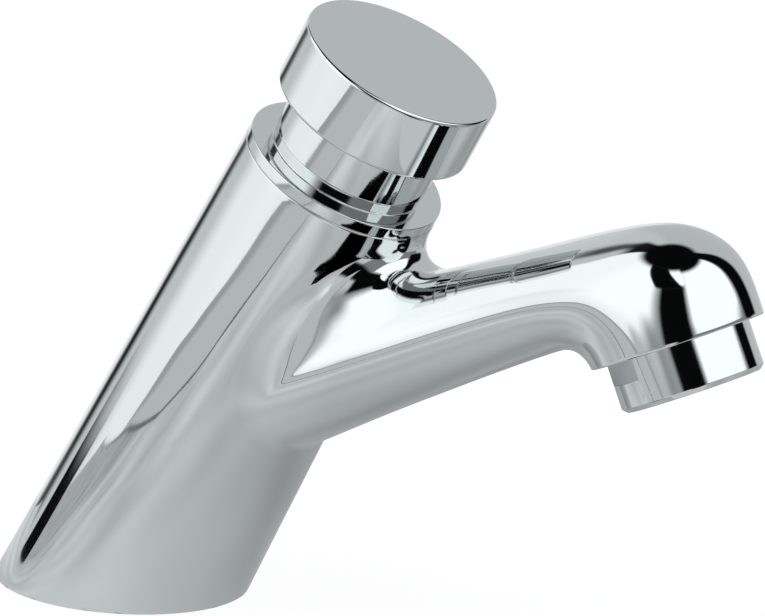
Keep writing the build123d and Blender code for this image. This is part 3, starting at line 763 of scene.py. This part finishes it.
def merged(piece):
    """Joins a rolled-up grid along its seam and turns its faces outwards."""
    bpy.ops.object.select_all(action="DESELECT")
    piece.select_set(True)
    bpy.context.view_layer.objects.active = piece
    bpy.ops.object.mode_set(mode="EDIT")
    bpy.ops.mesh.select_all(action="SELECT")
    bpy.ops.mesh.remove_doubles(threshold=1e-7)
    bpy.ops.mesh.select_all(action="DESELECT")
    bpy.ops.mesh.select_non_manifold(extend=False)
    bpy.ops.mesh.edge_face_add()
    bpy.ops.mesh.select_all(action="SELECT")
    bpy.ops.mesh.normals_make_consistent(inside=False)
    bpy.ops.object.mode_set(mode="OBJECT")


# Return spring: stainless wire coiled with a closed turn at each end, ground flat to
# sit on the barrel's shelf and under the piston.
coil_radius = 0.008
wire_radius = 0.0007
spring_foot_level = 0.05765
spring_head_level = 0.07695
closed_rise = 0.00145
open_turns = 5
wire_sides = 14
coil_steps = 36
spring_height = spring_head_level - spring_foot_level - wire_radius
open_rise = (spring_height - 2 * closed_rise) / open_turns


def wire_skin(column, row):
    """A point on the wire: columns go round it and rows follow the coil upwards."""
    turns = row / coil_steps
    rise = min(turns, 1) * closed_rise
    rise += max(0, min(turns - 1, open_turns)) * open_rise
    rise += max(0, turns - 1 - open_turns) * closed_rise
    around_wire = 2 * math.pi * (column % wire_sides) / wire_sides
    radius = coil_radius + wire_radius * math.cos(around_wire)
    level = spring_foot_level + wire_radius / 2 + rise + wire_radius * math.sin(around_wire)
    around_coil = 2 * math.pi * turns
    return radius * math.cos(around_coil), radius * math.sin(around_coil), level


bpy.ops.object.select_all(action="DESELECT")
spring_rows = (open_turns + 2) * coil_steps
return_spring = shaped_grid("return_spring_visual", wire_sides, spring_rows, wire_skin)
merged(return_spring)
for level, above in ((spring_foot_level, 1), (spring_head_level, -1)):
    pick_edges(return_spring, lambda a, b: True)
    bpy.ops.mesh.bisect(
        plane_co=(0, 0, level), plane_no=(0, 0, above), clear_inner=True, use_fill=True
    )
    bpy.ops.object.mode_set(mode="OBJECT")
return_spring.data.transform(body_frame)
polish(return_spring)
coat(return_spring, spring_steel)
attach(return_spring, "tap_body")
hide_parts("return_spring")
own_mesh(return_spring)

# Inlet shank: brass tube with a G1/2 thread cut down its upper part, screwed up into
# the foot. It passes through the deck and carries the nut.
thread_pitch = 0.001814
thread_depth = 0.00116
thread_half_width = 0.000657
thread_low_level = -0.044
thread_turns = 24
thread_steps = 48
shank_radius = 0.01048
shank_bore_radius = 0.0066
shank_low_level = -0.062
shank_high_level = 0.0074
inlet_shank = turned("inlet_shank_visual", [
    (shank_bore_radius + 0.0005, shank_low_level), (shank_radius - 0.001, shank_low_level),
    (shank_radius, -0.061), (shank_radius, shank_high_level),
    (shank_bore_radius, shank_high_level), (shank_bore_radius, -0.0615),
], 96)
thread_over = 0.0002
runout_steps = 30


def thread_groove(column, row):
    """A corner of the cutter that winds down the shank; its depth fades out at both ends."""
    fade = min(1, row / runout_steps, (thread_turns * thread_steps - row) / runout_steps)
    depth = fade * (thread_depth + thread_over / 2) - thread_over / 2
    half_width = thread_half_width * (depth + thread_over) / thread_depth
    outside = shank_radius + thread_over
    radius = (outside, shank_radius - depth, outside)[column % 3]
    rise = (-half_width, 0, half_width)[column % 3]
    turn = 2 * math.pi * row / thread_steps
    level = thread_low_level + thread_half_width + thread_pitch * row / thread_steps + rise
    return radius * math.cos(turn), radius * math.sin(turn), level


bpy.ops.object.select_all(action="DESELECT")
thread_cutter = shaped_grid("thread_cutter", 3, thread_turns * thread_steps, thread_groove)
merged(thread_cutter)
finish_with(inlet_shank, "BOOLEAN", operation="DIFFERENCE", solver="EXACT", object=thread_cutter)
bpy.data.objects.remove(thread_cutter)
polish(inlet_shank, 25)
shank_brass = bare_metal("shank_brass", (0.78, 0.59, 0.29), (0.55, 0.37, 0.17), 0.3, 0.000015)
coat(inlet_shank, shank_brass)
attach(inlet_shank, "tap_body")
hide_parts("inlet_shank")

# Base gasket, deck washer and clamp washer: the rubber ring in the foot's groove, and
# the rubber and steel washers that the nut presses up under the deck.
washer_bore_radius = 0.0109
washer_radius = 0.018
deck_low_level = -0.03
clamp_high_level = -0.033
clamp_low_level = -0.035


def flat_ring(name, inner, outer, low, high):
    """A ring about Z with a rectangular section."""
    return turned(name, [(inner, low), (outer, low), (outer, high), (inner, high)], 96)


base_gasket = flat_ring("base_gasket_visual", 0.01865, 0.02135, 0, 0.00175)
broken_edges(base_gasket, 0.0004)
deck_washer = flat_ring(
    "deck_washer_visual", washer_bore_radius, washer_radius, clamp_high_level, deck_low_level
)
broken_edges(deck_washer, 0.0007, 4)
clamp_washer = flat_ring(
    "clamp_washer_visual", washer_bore_radius, washer_radius, clamp_low_level, clamp_high_level
)
broken_edges(clamp_washer, 0.0004)
rings = (
    (base_gasket, "base_gasket", black_rubber, "black_rubber"),
    (deck_washer, "deck_washer", black_rubber, "black_rubber"),
    (clamp_washer, "clamp_washer", stainless, "stainless"),
)
for ring, node, material, slot in rings:
    polish(ring)
    coat(ring, material)
    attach(ring, "tap_body")
    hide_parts(node)

# Backnut: a brass hexagon nut with both faces chamfered on the lathe, screwed up the
# shank under the washers.
backnut_flats = 0.027
backnut_low_level = -0.044
backnut_high_level = clamp_low_level
corner_radius = backnut_flats / 2 / math.cos(math.pi / 6)
lathe_radius = corner_radius + 0.0002
corner_height = 0.0012
nut_bore = 0.01053
nut_bore_chamfer = 0.0008
bpy.ops.object.select_all(action="DESELECT")
bpy.ops.mesh.primitive_cylinder_add(
    vertices=6, radius=corner_radius, depth=backnut_high_level - backnut_low_level,
    location=(0, 0, (backnut_low_level + backnut_high_level) / 2),
    rotation=(0, 0, math.radians(30)),
)
backnut = bpy.context.object
backnut.name = "backnut_visual"
bpy.ops.object.transform_apply(location=True, rotation=True, scale=True)
lathe_cut = turned("lathe_cut", [
    (nut_bore + nut_bore_chamfer, backnut_low_level), (backnut_flats / 2, backnut_low_level),
    (lathe_radius, backnut_low_level + corner_height),
    (lathe_radius, backnut_high_level - corner_height),
    (backnut_flats / 2, backnut_high_level), (nut_bore + nut_bore_chamfer, backnut_high_level),
    (nut_bore, backnut_high_level - nut_bore_chamfer),
    (nut_bore, backnut_low_level + nut_bore_chamfer),
], 96)
finish_with(backnut, "BOOLEAN", operation="INTERSECT", solver="EXACT", object=lathe_cut)
bpy.data.objects.remove(lathe_cut)
broken_edges(backnut, 0.00015, 2, 20)
polish(backnut, 30)
coat(backnut, shank_brass)
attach(backnut, "tap_body")
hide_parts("backnut")

# The studio: a white room of soft boxes and black flags round the tap, which its
# chrome mirrors from every side, on a plain pale floor that stands for the deck's top.
floor_level = -0.0001
bpy.ops.mesh.primitive_plane_add(size=8, location=(0, 0, floor_level))
floor = bpy.context.object
floor.name = "floor"
floor.visible_glossy = False


def calculated(operation, *terms):
    """A math node in the node tree being built; its terms are numbers or nodes' outputs."""
    node = nodes.new("ShaderNodeMath")
    node.operation = operation
    for socket, term in zip(node.inputs, terms):
        if isinstance(term, (int, float)):
            socket.default_value = term
        else:
            links.new(term, socket)
    return node.outputs["Value"]


# What the chrome mirrors of the table, as flat shapes that glow with painted light: a lit
# pale top that darkens to the right, a painted shadow line along its front edge, a grey
# strip in front of that, and a black spot under the spout's head. Camera and floor never
# show them.
table_outline = (
    (0.14, -0.2), (0.14, 0), (0.5, 0), (0.5, 0.6), (0.1, 0.6), (-0.05, 0.045), (-0.3, 0.1),
    (-0.35, -0.05), (-3, -0.42), (-3, -1.05), (-0.37, -0.31), (-0.1, -0.2),
)
edge_outline = (
    (0.06, -0.2), (0, -0.193), (-0.1, -0.193), (-0.37, -0.302), (-3, -1.03), (-3, -1.05),
    (-0.37, -0.31), (-0.1, -0.2),
)
front_outline = (
    (0.3, -0.4), (0.3, -0.19), (-0.1, -0.19), (-0.37, -0.3), (-0.5, -0.34), (-0.51, -0.43),
    (-0.48, -0.455), (-0.35, -0.44), (-0.15, -0.41),
)
spot_outline = (
    (0.098, -0.082), (0.104, -0.084), (0.114, -0.07), (0.124, -0.062), (0.134, -0.04),
    (0.136, -0.024), (0.108, -0.024), (0.109, -0.036), (0.104, -0.046), (0.099, -0.068),
)
front_level = -0.0007
top_level = -0.0005
mark_level = -0.0003


def mirrored_only(name, outline, level):
    """A flat shape on the deck that only reflections show."""
    bpy.ops.mesh.primitive_circle_add(vertices=len(outline), radius=1, fill_type="NGON")
    flat = bpy.context.object
    flat.name = name
    for vertex, (x, y) in zip(flat.data.vertices, outline):
        vertex.co = (x, y, level)
    flat.visible_camera = False
    flat.visible_diffuse = False
    flat.visible_transmission = False
    flat.visible_shadow = False
    return flat


studio_white = (0.97, 1.0, 1.0, 1)


def glowing(name, strength=0.0):
    """A material that only glows, and where X and Y lie on the flat shape it covers."""
    material, nodes, links, shader = surface(name, (0, 0, 0), 0.0, 1.0)
    shader.inputs["Specular IOR Level"].default_value = 0
    shader.inputs["Emission Color"].default_value = studio_white
    shader.inputs["Emission Strength"].default_value = strength
    place = nodes.new("ShaderNodeTexCoord")
    sides = nodes.new("ShaderNodeSeparateXYZ")
    links.new(place.outputs["Object"], sides.inputs["Vector"])
    return material, nodes, links, shader.inputs["Emission Strength"], sides.outputs


table_top = mirrored_only("table_top", table_outline, top_level)
table_spot = mirrored_only("table_spot", spot_outline, mark_level)
table_front = mirrored_only("table_front", front_outline, front_level)
table_edge = mirrored_only("table_edge", edge_outline, mark_level)
# Painted shadow: a dim glowing strip along the table's front edge.
coat(table_edge, glowing("edge_shadow_line", 0.16)[0])
coat(table_spot, glowing("spot_black")[0])
table_grey, nodes, links, strength, sides = glowing("table_grey")
# Painted light: the table top's glow is dimmer towards the right and far off to the left, brighter
# beyond x = 0.125, and patchy at random.
towards_right = calculated("ADD", sides["X"], sides["Y"])
table_tone = ranged(nodes, links, towards_right, 0.72, 0.40, -0.06, 0.09)
far_tone = ranged(nodes, links, towards_right, 0.68, 1, -0.5, -0.16)
right_tone = ranged(nodes, links, sides["X"], 1, 1.35, 0.105, 0.125)
table_tone = calculated("MULTIPLY", calculated("MULTIPLY", table_tone, far_tone), right_tone)
table_glow_patches = ranged(nodes, links, object_noise(nodes, links, 16, 1), 0.78, 1.16)
links.new(calculated("MULTIPLY", table_tone, table_glow_patches), strength)
coat(table_top, table_grey)
front_grey, nodes, links, strength, sides = glowing("front_grey")
links.new(ranged(nodes, links, sides["Y"], 0.42, 0.62, -0.37, -0.33), strength)
coat(table_front, front_grey)

# The room round the tap: a grey wall with panels of light and black before it.
studio = bpy.data.worlds.new("studio")
bpy.context.scene.world = studio
studio.use_nodes = True
nodes, links = studio.node_tree.nodes, studio.node_tree.links
backing = nodes["Background"]


def inside_by(distance, half_size, softness):
    """One within half_size of a panel's middle line, falling to nothing over its soft edge."""
    fall = nodes.new("ShaderNodeMapRange")
    fall.interpolation_type = "SMOOTHSTEP"
    fall.inputs["From Min"].default_value = half_size - softness
    fall.inputs["From Max"].default_value = half_size + softness
    fall.inputs["To Min"].default_value = 1
    fall.inputs["To Max"].default_value = 0
    links.new(distance, fall.inputs["Value"])
    return fall.outputs["Result"]


sight = nodes.new("ShaderNodeTexCoord")
parts_of_sight = nodes.new("ShaderNodeSeparateXYZ")
links.new(sight.outputs["Generated"], parts_of_sight.inputs["Vector"])
sight_x, sight_y, sight_z = parts_of_sight.outputs
turn_of_sight = calculated("DEGREES", calculated("ARCTAN2", sight_y, sight_x))
rise_of_sight = calculated("DEGREES", calculated("ARCSINE", sight_z))

# Each panel: the turn and the rise of its middle as the tap sees it, half its width
# and half its height, how far it leans sideways for each degree of rise, its soft
# edge, all in degrees, and how bright it is. A later panel hangs before an earlier one.
panels = (
    (95, 35, 34, 42, 0.0, 4, 0.60),
    (137, 12, 12, 18, 0.9, 5, 0.72),
    (157, 56, 7, 24, 0.0, 5, 0.10),
    (166, 68, 22, 15, 0.0, 5, 0.01),
    (-125, -6, 47, 28, 0.0, 12, 1.1),
    (-129, 42, 53, 27, 0.0, 3, 1.25),
    (-108, 32, 28, 34, 0.0, 12, 1.36),
    (10, -6, 50, 22, 0.0, 3, 0.25),
    (3.5, 41.5, 39, 25, 0.0, 2, 1.36),
    (-99, -11, 13, 7, 0.0, 4, 0.6),
    (-76, 20, 7, 40, 0.0, 7, 0.4),
    (-86, -2, 10, 9, 0.0, 8, 0.35),
    (-50, 56, 14, 12, 0.0, 2, 1.36),
    (-57, 22, 18, 21, 0.0, 3, 0.003),
    (-77.3, 55, 22, 15, -1.1, 2, 0.003),
    (-41, -16, 10.5, 31, -0.33, 3, 0.003),
    (55, 39, 11.5, 36, -0.15, 3, 0.003),
    (134, -4, 14, 12, 0.0, 2, 0.9),
    (155, -2, 7, 6, 0.0, 6, 0.02),
    (179.5, -3.6, 8, 4.2, 0.0, 1, 0.005),
    (12, 90, 52, 28, 0.0, 4, 0.003),
    (0, 90, 200, 24, 0.0, 4, 0.003),
)
wall_brightness = 0.68
shade = None
for turn, rise, half_turn, half_rise, lean_of_panel, softness, brightness in panels:
    rise_off = calculated("SUBTRACT", rise_of_sight, rise)
    middle_turn = calculated("ADD", calculated("MULTIPLY", rise_off, lean_of_panel), turn)
    turn_off = calculated("WRAP", calculated("SUBTRACT", turn_of_sight, middle_turn), 180, -180)
    covered = calculated(
        "MULTIPLY",
        inside_by(calculated("ABSOLUTE", turn_off), half_turn, softness),
        inside_by(calculated("ABSOLUTE", rise_off), half_rise, softness),
    )
    hung = nodes.new("ShaderNodeMix")
    links.new(covered, hung.inputs["Factor"])
    if shade is None:
        hung.inputs["A"].default_value = wall_brightness
    else:
        links.new(shade, hung.inputs["A"])
    hung.inputs["B"].default_value = brightness
    shade = hung.outputs["Result"]
links.new(shade, backing.inputs["Strength"])
backing.inputs["Color"].default_value = studio_white

# The camera looks past the panels to a plain white wall.
wall = nodes.new("ShaderNodeBackground")
wall.inputs["Color"].default_value = (1, 1, 1, 1)
wall.inputs["Strength"].default_value = 1
looked_at = nodes.new("ShaderNodeLightPath")
choice = nodes.new("ShaderNodeMixShader")
links.new(looked_at.outputs["Is Camera Ray"], choice.inputs["Fac"])
links.new(backing.outputs["Background"], choice.inputs[1])
links.new(wall.outputs["Background"], choice.inputs[2])
links.new(choice.outputs["Shader"], nodes["World Output"].inputs["Surface"])

# The floor glows for the camera alone, so that it is as white as the wall and still
# shows the tap's shadow.
floor_white, nodes, links, shader = surface("floor_white", (0.85, 0.85, 0.85), 0.0, 0.9)
floor_glow = nodes.new("ShaderNodeEmission")
floor_glow.inputs["Strength"].default_value = 1.13
floor_mix = nodes.new("ShaderNodeMixShader")
seen = nodes.new("ShaderNodeLightPath")
links.new(calculated("MULTIPLY", seen.outputs["Is Camera Ray"], 0.8), floor_mix.inputs["Fac"])
links.new(shader.outputs["BSDF"], floor_mix.inputs[1])
links.new(floor_glow.outputs["Emission"], floor_mix.inputs[2])
links.new(floor_mix.outputs["Shader"], nodes["Material Output"].inputs["Surface"])
coat(floor, floor_white)
